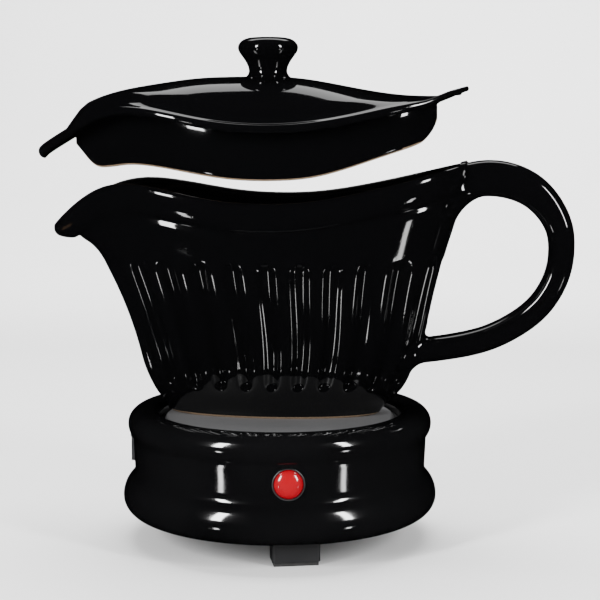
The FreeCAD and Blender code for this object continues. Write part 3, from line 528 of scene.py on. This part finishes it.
def make_boat_body():
    """Fluted wall, rolled rim and hollow inside, on an unglazed foot ring."""
    outer, lip, inner = boat_body_points()
    columns = outer.shape[1]
    rows = [ring_scaled(outer[0], scale, FOOT_Z + lift) for scale, lift in FOOT_RINGS]
    rows += list(outer[1:]) + lip + list(inner)
    rows += [ring_scaled(inner[-1], scale, FOOT_Z + FLOOR_THICK + lift) for scale, lift in FLOOR_RINGS]
    rows = [row + np.array([0, MID_Y, 0]) for row in rows]
    verts = np.concatenate(rows)
    faces = grid_faces(len(rows), columns)
    faces.append(tuple(range(columns))[::-1])
    faces.append(tuple(range(len(verts) - columns, len(verts))))
    piece = make_piece("gravy_boat_body", verts, faces, "boat",
                       [LOOKS["black_glaze"], LOOKS["raw_clay"]], ["gravy_boat"])
    assign_where(piece, 1, lambda spot: spot.z < FOOT_Z + BARE_FOOT)
    return piece


# centre line of the handle in X-Z, root to root, and its thickness by share of that line
HANDLE = [(73, 173.8), (88, 177.6), (100, 180.2), (113, 179.2), (125, 173.8), (133, 165.6),
          (138.2, 155.0), (139.2, 146.0), (138.3, 136.5), (134.5, 126.0), (127.5, 116.0), (117, 107.6),
          (103.4, 100.7), (90, 97.0), (77, 94.8), (66, 93.4), (56, 92.6)]
STRAP_THICK = Spline([(0, 17.5), (0.12, 17.8), (0.2, 17.8), (0.27, 16.6), (0.33, 15.0), (0.4, 13.5),
                      (0.46, 12.9), (0.75, 12.6), (1.0, 12.2)])
STRAP_WIDE, ROOT_WIDER = 15.5, 0.22
STRAP_SIDES, STRAP_ROWS = 56, 190
STRAP_SQUARE = 2.6
ROOT_DEEP = 2.6
# heights between which the wall's outline is known
WALL_LOW, WALL_HIGH = 64, 188


def off_the_wall(points):
    """How far points stand off the plain outside of the boat's body."""
    z = np.clip(points[..., 2], WALL_LOW, WALL_HIGH)
    middle, reach = (LEFT_END(z) + RIGHT_END(z)) / 2, (RIGHT_END(z) - LEFT_END(z)) / 2
    half = HALF_WIDTH(z)
    x, y = points[..., 0] - middle, points[..., 1] - MID_Y
    share = np.hypot(x / reach, y / half)
    steep = np.hypot(x / reach ** 2, y / half ** 2) / share
    return (share - 1) / steep


def make_handle():
    """The loop: a soft rounded strap whose ends flare into the wall."""
    along_x, along_z = path_spline(HANDLE)
    fine = np.linspace(0, 1, 1601)
    centre = np.stack([along_x(fine), np.full(fine.shape, MID_Y), along_z(fine)], axis=-1)
    tangent = np.gradient(centre, axis=0)
    tangent /= np.linalg.norm(tangent, axis=-1, keepdims=True)
    outward = np.stack([-tangent[:, 2], np.zeros(fine.shape), tangent[:, 0]], axis=-1)
    thick = STRAP_THICK(fine)
    wide = STRAP_WIDE * (1 + ROOT_WIDER * np.abs(2 * fine - 1) ** 3)
    turn = np.linspace(0, 2 * math.pi, STRAP_SIDES, endpoint=False)
    power = 2 / STRAP_SQUARE
    flat = np.sign(np.cos(turn)) * np.abs(np.cos(turn)) ** power
    edge = np.sign(np.sin(turn)) * np.abs(np.sin(turn)) ** power
    columns = []
    for c in range(STRAP_SIDES):
        spoke = outward * (flat[c] * thick / 2)[:, None]
        spoke = spoke + np.array([0, 1.0, 0]) * (edge[c] * wide / 2)[:, None]
        line = centre + spoke
        away = off_the_wall(line)
        half_way = len(fine) // 2
        start = fine[np.max(np.nonzero(away[:half_way] < -ROOT_DEEP)[0])]
        stop = fine[half_way + np.min(np.nonzero(away[half_way:] < -ROOT_DEEP)[0])]
        ease = np.linspace(0, math.pi, STRAP_ROWS)
        share = start + (stop - start) * (0.35 * ease / math.pi + 0.65 * (1 - np.cos(ease)) / 2)
        spot = np.stack([np.interp(share, fine, line[:, k]) for k in range(3)], axis=-1)
        out = np.stack([np.interp(share, fine, spoke[:, k]) for k in range(3)], axis=-1)
        out /= np.linalg.norm(out, axis=-1, keepdims=True)
        gap = off_the_wall(spot)
        under = smooth(-flat[c], -0.5, 0.9)
        radius = np.where(share < 0.5, 1.2 + 9.8 * under, 5.5 - 2.0 * under)
        near = np.clip(gap, 0, radius)
        flare = radius - np.sqrt(radius ** 2 - (radius - near) ** 2)
        flare = np.where(gap < radius, flare, 0)
        moved = spot + out * flare[:, None]
        # keep each flared point as far off the wall as it was before
        for _ in range(4):
            moved[:, 0] -= np.where(flare > 0, off_the_wall(moved) - gap, 0)
        columns.append(moved)
    points = np.stack(columns, axis=1)
    verts = points.reshape(-1, 3)
    faces = grid_faces(points.shape[0], STRAP_SIDES)
    faces.append(tuple(range(STRAP_SIDES))[::-1])
    faces.append(tuple(range(len(verts) - STRAP_SIDES, len(verts))))
    return make_piece("gravy_boat_handle", verts, faces, "boat",
                      [LOOKS["black_glaze"]])


# -------------------------------------------------------------------------- lid
# top line of the dome along X
RIDGE = Spline([(-123.4, 190.5), (-121, 197.0), (-118, 201.2), (-113.7, 205.3), (-109.5, 209.3),
                (-103.8, 213.3), (-97.6, 217.0), (-87.3, 221.2), (-79.6, 223.3), (-69.4, 225.3),
                (-56.7, 227.3), (-41.6, 229.2), (-20.4, 230.0), (9, 229.3), (22.4, 227.3), (42.3, 223.6),
                (56, 221.6), (70, 220.7), (80, 220.7), (90, 221.0)])
# skirt by X: share of its full half width, and its depth below the flange
SKIRT_LEFT, SKIRT_RIGHT, SKIRT_HALF = -104.0, 77.5, 34.6
SKIRT_SHARE = Spline([(-104, 0.27), (-100, 0.30), (-92, 0.38), (-84, 0.485), (-72, 0.645), (-60, 0.76),
                      (-45, 0.864), (-30, 0.941), (-15, 0.98), (0, 1.0), (40, 1.0), (78, 1.0)])
SKIRT_DEEP = Spline([(-104, 9.0), (-100, 14.5), (-96, 20.0), (-92, 23.5), (-87, 25.0), (-75, 25.0),
                     (-60, 24.2), (-36, 23.4), (-16, 23.2), (5, 23.0), (18, 22.8), (32, 21.6),
                     (56, 18.9), (68, 17.8), (73, 16.0), (76, 12.0), (77.5, 8.5)])
SKIRT_WALL = 4.7
SKIRT_BARE = 1.1
# height of the flange over the rim's side, the flange's thickness and the dome's wall
SEAT = 2.6
FLANGE = 4.3
DOME_WALL = 4.6
# the cover over the spout: reach past the rim, extra thickness, droop, spread in degrees
TIP_REACH, TIP_THICKER, TIP_DROOP, TIP_SPREAD = 8.0, 2.7, 1.4, 14.0
# the end over the handle's root stands higher and is thinner
TAIL_RISE, TAIL_THINNER, TAIL_PINCH = 1.9, 1.6, 0.10
LID_OVAL = (95.0, 43.0)
ROUND_IN = 2.6
LID_COLUMNS = 320
KNOB_X = -6.4


def dome_fall(across):
    """How high the dome stands between its ridge at 0 and its edge at 1."""
    return (1 - across ** 2.1) ** 0.95


def make_lid():
    """Domed flange over the rim, a rolled edge, and a deep skirt below."""
    angles, _ = even_angles(LID_COLUMNS, *LID_OVAL)
    rim = boat_surface(angles, np.ones(LID_COLUMNS))
    off_left = np.degrees(np.abs(angles - math.pi))
    tip = np.exp(-(off_left / TIP_SPREAD) ** 2)
    pinch = 1 - TAIL_PINCH * smooth(rim[:, 0], 40, 88)
    edge = rim.copy()
    edge[:, 0] += 0.8 * np.cos(angles) - TIP_REACH * tip
    edge[:, 1] = edge[:, 1] * pinch + 1.2 * np.sin(angles)
    base = rim[:, 2] + LID_RAISE + SEAT - TIP_DROOP * tip
    base = base + TAIL_RISE * smooth(edge[:, 0], 72, 86)
    thick = FLANGE + TIP_THICKER * tip - TAIL_THINNER * smooth(edge[:, 0], 50, 88)
    edge_top = base + thick
    # the dome: rays from the knob out to the edge
    far_side = edge[edge[:, 1] >= 0][:, :2]
    half_at = Spline(sorted({round(x, 3): abs(y) for x, y in far_side}.items())[::3])
    top_at = Spline(sorted({round(x, 3): z for x, z in zip(edge[:, 0], edge_top)}.items())[::4])
    reach = np.concatenate([np.linspace(0.02, 0.9, 26), np.linspace(0.92, 0.985, 6)])
    rows = []
    for r in reach:
        x = KNOB_X + r * (edge[:, 0] - KNOB_X) * (1 - ROUND_IN / 100 * smooth(r, 0.5, 1.0))
        y = r * edge[:, 1] * (1 - ROUND_IN / 45 * smooth(r, 0.5, 1.0))
        half = np.maximum(half_at(x), np.abs(y) + 1e-3)
        across = np.clip(np.abs(y) / half, 0, 1)
        low = np.minimum(top_at(x), RIDGE(x) - 0.2)
        blend = smooth(r, 0.80, 1.0)
        z = low + (RIDGE(x) - low) * dome_fall(across)
        z = z * (1 - blend) + np.minimum(z, edge_top + 14 * (1 - r)) * blend
        rows.append(np.stack([x, y, z], axis=-1))
    # rolled edge: from the top surface round to the underside
    outline_next = np.roll(edge, -1, axis=0) - np.roll(edge, 1, axis=0)
    inward = np.stack([outline_next[:, 1], -outline_next[:, 0], np.zeros(LID_COLUMNS)], axis=-1)
    inward /= np.linalg.norm(inward, axis=-1, keepdims=True)
    roll = thick / 2
    core = edge - inward * roll[:, None]
    core[:, 2] = base + roll
    for t in np.linspace(math.radians(72), math.radians(-90), 12):
        row = core + inward * (roll * math.cos(t))[:, None]
        rows.append(row + np.array([0, 0, 1.0]) * (roll * math.sin(t))[:, None])
    # underside of the flange, in to the skirt
    skirt_x = (SKIRT_LEFT + SKIRT_RIGHT) / 2 + (SKIRT_RIGHT - SKIRT_LEFT) / 2 * np.cos(angles)
    skirt_y = SKIRT_HALF * SKIRT_SHARE(skirt_x) * np.sin(angles)
    skirt = np.stack([skirt_x, skirt_y, np.zeros(LID_COLUMNS)], axis=-1)
    skirt_top = RIM(skirt_x) + LID_RAISE + SEAT
    deep = SKIRT_DEEP(skirt_x)

    def skirt_row(inset, drop):
        row = skirt - inward * inset
        row[:, 2] = skirt_top - drop
        return row
    for share in (0.25, 0.5, 0.75, 0.92):
        row = core + (skirt - core) * share
        row[:, 2] = base + (skirt_top - base) * share
        rows.append(row)
    rows += [skirt_row(0.15, 0.6), skirt_row(0.0, 2.0)]
    rows += [skirt_row(0.0, deep * share) for share in (0.3, 0.5, 0.7, 0.85, 0.93)]
    rows += [skirt_row(1.3 - math.cos(t), deep - 1.2 + 1.2 * math.sin(t))
             for t in np.linspace(0.3, 1.57, 5)]
    rows += [skirt_row(3.4, deep), skirt_row(4.2, deep - 0.5), skirt_row(4.6, deep - 1.6)]
    rows += [skirt_row(SKIRT_WALL, deep * share) for share in (0.8, 0.5, 0.2)]
    inner_rim = skirt_row(4.8, 1.0)
    for share in (0.0, 0.12, 0.3, 0.5, 0.7, 0.9, 0.98):
        row = inner_rim.copy()
        row[:, :2] = inner_rim[:, :2] + (np.array([KNOB_X, 0]) - inner_rim[:, :2]) * share
        half = half_at(row[:, 0])
        across = np.clip(np.abs(row[:, 1]) / half, 0, 1)
        low = top_at(row[:, 0])
        roof = low + (RIDGE(row[:, 0]) - low) * dome_fall(across) - DOME_WALL
        blend = smooth(share, 0, 0.12)
        row[:, 2] = inner_rim[:, 2] * (1 - blend) + roof * blend
        rows.append(row)
    rows = [row + np.array([0, MID_Y, 0]) for row in rows]
    verts = np.concatenate(rows)
    faces = grid_faces(len(rows), LID_COLUMNS)
    faces.append(tuple(range(LID_COLUMNS))[::-1])
    faces.append(tuple(range(len(verts) - LID_COLUMNS, len(verts))))
    piece = make_piece("lid_body", verts, faces, "lid",
                       [LOOKS["black_glaze"], LOOKS["raw_clay"]], ["lid"])
    mark_skirt_edge(piece)
    return piece


def mark_skirt_edge(piece):
    """The lower edge of the skirt is left unglazed."""
    for face in piece.data.polygons:
        spot = face.center / MM
        edge_z = RIM(spot.x) + LID_RAISE + SEAT - SKIRT_DEEP(spot.x)
        if spot.z < edge_z + SKIRT_BARE and SKIRT_LEFT - 1 < spot.x < SKIRT_RIGHT + 1:
            face.material_index = 1


# radius and height of the knob's outline, below its top
KNOB = [(0.6, 0.0), (6.0, -0.1), (9.5, -0.5), (12.2, -1.4), (14.0, -2.9), (14.9, -5.0), (14.6, -6.8),
        (13.4, -8.8), (11.8, -11.0), (10.4, -13.4), (9.6, -15.6), (9.5, -17.0), (10.1, -18.6),
        (11.6, -20.1), (13.8, -21.2), (16.6, -22.0)]
KNOB_SIDES, KNOB_ROWS = 128, 64


def make_knob():
    """Waisted knob with a flattened crown, turned about its own axis."""
    top = LID_TOP
    along_r, along_z = path_spline(KNOB)
    profile = [(max(float(along_r(s)), 0.05), top + float(along_z(s)))
               for s in np.linspace(0, 1, KNOB_ROWS)]
    verts, faces = turned_grid(profile, KNOB_SIDES, (KNOB_X, MID_Y))
    faces.append(tuple(range(KNOB_SIDES))[::-1])
    faces.append(tuple(range(len(verts) - KNOB_SIDES, len(verts))))
    return make_piece("lid_knob", verts, faces, "lid", [LOOKS["black_glaze"]])


# ---------------------------------------------------------------- base housing
def housing_profile():
    """Turned outline of the housing: bottom ring, waist, top ring, recess."""
    low = HOUSING_LOW[2]
    outside = [(68.95, low)] + arc((69.8, low + 9.0), 9.0, -90, 0, 14)
    outside += arc((64.5, 21.8), 14.3, 0, 50, 14)[1:]
    outside += [(73.15, 34.2), (72.95, 35.6), (73.0, 38.0), (73.2, 42.0), (73.4, 46.0), (73.5, 49.0),
                (73.55, 50.6), (73.75, 52.0)]
    outside += arc((66.8, 58.2), 9.3, -38, 0, 12)
    outside += arc((68.8, 58.2), 7.3, 0, 90, 16)[1:]
    outside += [(67.4, HOUSING_HIGH[2])] + arc((65.0, 61.0), 4.5, 90, 180, 12)
    outside += [(60.5, 58.4), (60.4, 57.7), (60.0, 57.5), (56.3, 57.5), (56.0, 57.2), (56.0, 55.0)]
    inside = [(62.9, 55.0), (62.9, 61.0), (64.5, 63.0), (68.8, 63.0), (72.4, 60.5), (72.6, 57.0),
              (71.2, 52.0), (70.7, 42.0), (70.4, 34.0), (73.2, 29.0), (75.6, 22.0), (73.0, 16.5),
              (69.0, 15.2)]
    return outside + inside


def cut_away(piece, cutters):
    """Cut each closed shape out of a piece, for good."""
    for cutter in cutters:
        change = piece.modifiers.new("cut", "BOOLEAN")
        change.operation = "DIFFERENCE"
        change.solver = "EXACT"
        change.object = cutter
    scene_state = bpy.context.evaluated_depsgraph_get()
    cut_mesh = bpy.data.meshes.new_from_object(piece.evaluated_get(scene_state))
    piece.modifiers.clear()
    piece.data = cut_mesh
    for cutter in cutters:
        bpy.data.objects.remove(cutter, do_unlink=True)


def plain_cutter(name, verts, faces):
    """A closed shape in millimetres that only serves to cut."""
    mesh = bpy.data.meshes.new(name)
    mesh.from_pydata([tuple(np.array(v) * MM) for v in verts], [], faces)
    item = bpy.data.objects.new(name, mesh)
    bpy.context.scene.collection.objects.link(item)
    work = bmesh.new()
    work.from_mesh(mesh)
    bmesh.ops.recalc_face_normals(work, faces=work.faces)
    work.to_mesh(mesh)
    work.free()
    return item


def window_cutter(name, node, turn_degrees, grow, inner, outer):
    """A box-shaped cutter round a control, facing straight out of the waist."""
    turn = math.radians(turn_degrees)
    out = np.array([math.sin(turn), -math.cos(turn), 0.0])
    side = np.array([math.cos(turn), math.sin(turn), 0.0])
    wide, tall = grow
    centre_z = (box_mm(node)[0][2] + box_mm(node)[1][2]) / 2
    verts = [out * d + side * s * wide / 2 + np.array([0, 0, centre_z + u * tall / 2])
             for d in (inner, outer) for s, u in ((-1, -1), (1, -1), (1, 1), (-1, 1))]
    faces = [(0, 1, 2, 3), (7, 6, 5, 4), (0, 4, 5, 1), (1, 5, 6, 2), (2, 6, 7, 3), (3, 7, 4, 0)]
    return plain_cutter(name, verts, faces)


def lens_frame():
    """Middle, outward and sideways directions of the pilot light."""
    low, high = box_mm("indicator_lamp")
    middle = (low + high) / 2
    out = np.array([middle[0], middle[1], 0.0])
    out /= np.linalg.norm(out)
    return middle[2], out, np.array([-out[1], out[0], 0.0])


def round_cutter(name, radius, inner, outer, sides=96):
    """A round cutter along the pilot light's axis."""
    height, out, side = lens_frame()
    verts = []
    for d in (inner, outer):
        for t in np.linspace(0, 2 * math.pi, sides, endpoint=False):
            up = np.array([0, 0, height + radius * math.sin(t)])
            verts.append(out * d + side * radius * math.cos(t) + up)
    faces = grid_faces(2, sides) + [tuple(range(sides))[::-1], tuple(range(sides, 2 * sides))]
    return plain_cutter(name, verts, faces)


def make_housing():
    """The turned shell, with its holes for the lens, the switch and the inlet."""
    profile = housing_profile()
    verts, faces = turned_grid(profile + [profile[0]], 288)
    piece = make_piece("base_housing_shell", verts, faces, "base",
                       [LOOKS["gloss_black_plastic"]], ["base_housing"])
    cut_away(piece, [
        round_cutter("lens_hole", 7.6, 66.0, 82.0),
        window_cutter("switch_hole", "switch_body", -98.0, (9.8, 14.0), 60.0, 80.0),
        window_cutter("inlet_hole", "mains_inlet", 180.0, (22.4, 13.4), 55.0, 80.0),
    ])
    tidy_mesh(piece.data, 35.0)
    return piece


# pilot light: radius and reach from the object's axis
LENS_RADIUS, LENS_SHOULDER, LENS_CROWN = 7.0, 72.6, 3.7
LENS_BACK = [(0.05, 68.5), (6.6, 68.5), (6.9, 68.8), (LENS_RADIUS, LENS_SHOULDER)]
BEZEL = [(7.05, 70.0), (7.05, 73.1), (7.2, 73.45), (7.5, 73.55), (7.75, 73.4), (7.8, 73.0), (7.8, 70.0)]


def make_lens():
    """Domed lens with a small shoulder, set in a thin dark ring."""
    height, out, side = lens_frame()
    up = np.array([0, 0, 1.0])
    sides = 96

    def ring(radius, reach):
        return [out * reach + side * radius * math.cos(t) + up * (height + radius * math.sin(t))
                for t in np.linspace(0, 2 * math.pi, sides, endpoint=False)]

    rows = [ring(radius, reach) for radius, reach in LENS_BACK]
    for t in np.radians(np.linspace(8, 89, 18)):
        rows.append(ring(LENS_RADIUS * math.cos(t) + 0.02, LENS_SHOULDER + LENS_CROWN * math.sin(t)))
    verts = np.concatenate([np.array(r) for r in rows])
    faces = grid_faces(len(rows), sides)
    faces += [tuple(range(sides))[::-1], tuple(range(len(verts) - sides, len(verts)))]
    make_piece("indicator_lens_dome", verts, faces, "base", [LOOKS["red_lens"]],
               ["indicator_lens"])
    rows = [ring(radius, reach) for radius, reach in BEZEL]
    verts = np.concatenate([np.array(r) for r in rows + rows[:1]])
    faces = grid_faces(len(rows) + 1, sides)
    make_piece("indicator_bezel", verts, faces, "base",
               [LOOKS["matte_black_plastic"]])


def make_plate():
    """Pressed warming plate with a rolled edge over its dark gap."""
    low, high = box_mm("warming_plate")
    top = high[2]
    profile = [(0.3, top), (20.0, top), (40.0, top), (54.5, top)]
    profile += arc((55.6, top - 2.0), 2.0, 90, 0, 10)
    profile += [(57.6, 58.9), (57.2, 58.72), (55.8, 58.7), (55.6, 59.3), (54.0, 59.5), (2.1, 59.5),
                (2.0, low[2]), (0.3, low[2])]
    verts, faces = turned_grid(profile, 192)
    faces += [tuple(range(192)), tuple(range(len(verts) - 192, len(verts)))[::-1]]
    return make_piece("warming_plate_disc", verts, faces, "base",
                      [LOOKS["coated_aluminium"]], ["warming_plate"])


# ----------------------------------------------------------------------- studio
def area_light(name, place, aim, size, power, in_gloss=True):
    """A soft rectangle of light, out of the camera's sight."""
    data = bpy.data.lights.new(name, "AREA")
    data.shape = "RECTANGLE"
    data.size, data.size_y = size
    data.energy = power
    lamp = bpy.data.objects.new(name, data)
    bpy.context.scene.collection.objects.link(lamp)
    lamp.visible_camera = False
    lamp.visible_glossy = in_gloss
    lamp.location = place
    lamp.rotation_euler = (Vector(aim) - Vector(place)).to_track_quat("-Z", "Y").to_euler()


def make_studio():
    """Pale floor curving up into a backdrop, dim surround, soft lights."""
    size, back, bend, wall = 2.6, 2.0, 0.8, 2.6
    line = [(-size, 0.0), (back - bend, 0.0)]
    line += [(back - bend + bend * math.sin(t), bend - bend * math.cos(t))
             for t in np.linspace(0.1, math.pi / 2, 14)]
    line += [(back, wall)]
    verts = [(side * size, y, z) for y, z in line for side in (-1, 1)]
    faces = [(2 * k, 2 * k + 1, 2 * k + 3, 2 * k + 2) for k in range(len(line) - 1)]
    mesh = bpy.data.meshes.new("studio_floor")
    mesh.from_pydata(verts, [], faces)
    for face in mesh.polygons:
        face.use_smooth = True
    floor = bpy.data.objects.new("studio_floor", mesh)
    bpy.context.scene.collection.objects.link(floor)
    made, tree, shader, node = material("studio_floor")
    where = object_coordinates(tree, node)
    tone = ramp(node, 0.3, 0.7, (0.86, 0.86, 0.86), (0.90, 0.90, 0.90))
    tree.links.new(noise(tree, node, where, 3.0), tone.inputs["Fac"])
    tree.links.new(tone.outputs["Color"], shader.inputs["Base Color"])
    shader.inputs["Roughness"].default_value = 0.95
    mesh.materials.append(made)
    # the walls lean out over the floor, and a pale floor would turn them grey
    floor.visible_glossy = False
    world = bpy.data.worlds.new("studio")
    bpy.context.scene.world = world
    world.use_nodes = True
    world.node_tree.nodes["Background"].inputs["Color"].default_value = (1.0, 1.0, 1.0, 1)
    world.node_tree.nodes["Background"].inputs["Strength"].default_value = 0.45
    # a pale room for the floor to stand in, that the black glaze does not mirror
    world.cycles_visibility.glossy = False
    middle = (0.0, 0.0, 0.13)
    area_light("window_left", (-0.88, -1.09, 0.68), middle, (0.20, 0.75), 34.0)
    area_light("window_right", (1.16, -0.78, 0.68), middle, (0.16, 0.75), 24.0)
    # low panes that only the leaning walls of the boat reflect
    area_light("pane_left", (-0.88, -1.09, -0.42), middle, (0.09, 0.16), 1.1)
    area_light("pane_right", (1.16, -0.78, -0.42), middle, (0.09, 0.16), 0.9)
    area_light("top_soft", (0.0, 0.35, 1.35), (0.0, 0.3, 0.0), (1.1, 0.9), 34.0, False)
    area_light("top_sheen", (-0.1, 1.0, 1.5), (0.0, 0.1, 0.0), (1.4, 0.5), 7.0)
    area_light("backdrop_wash", (0.0, 0.75, 0.95), (0.0, 2.0, 0.75), (1.6, 0.3), 40.0)


def make_camera():
    """A long lens a little above the lid, turned slightly to the handle side."""
    distance, height, pitch, turn, slide = 0.850, 0.2316, 7.53, 6.0, 0.0102
    spin = Matrix.Rotation(math.radians(turn), 4, "Z")
    data = bpy.data.cameras.new("camera")
    data.lens = 102.9
    data.sensor_width = 36.0
    data.clip_start, data.clip_end = 0.05, 20.0
    camera = bpy.data.objects.new("camera", data)
    bpy.context.scene.collection.objects.link(camera)
    place = Matrix.Translation((slide, -distance, height))
    camera.matrix_world = spin @ place @ Matrix.Rotation(math.radians(90 - pitch), 4, "X")
    bpy.context.scene.camera = camera


make_camera()
dress_cad_nodes()
make_boat_body()
make_handle()
make_lid()
make_knob()
make_housing()
make_lens()
make_plate()
make_studio()
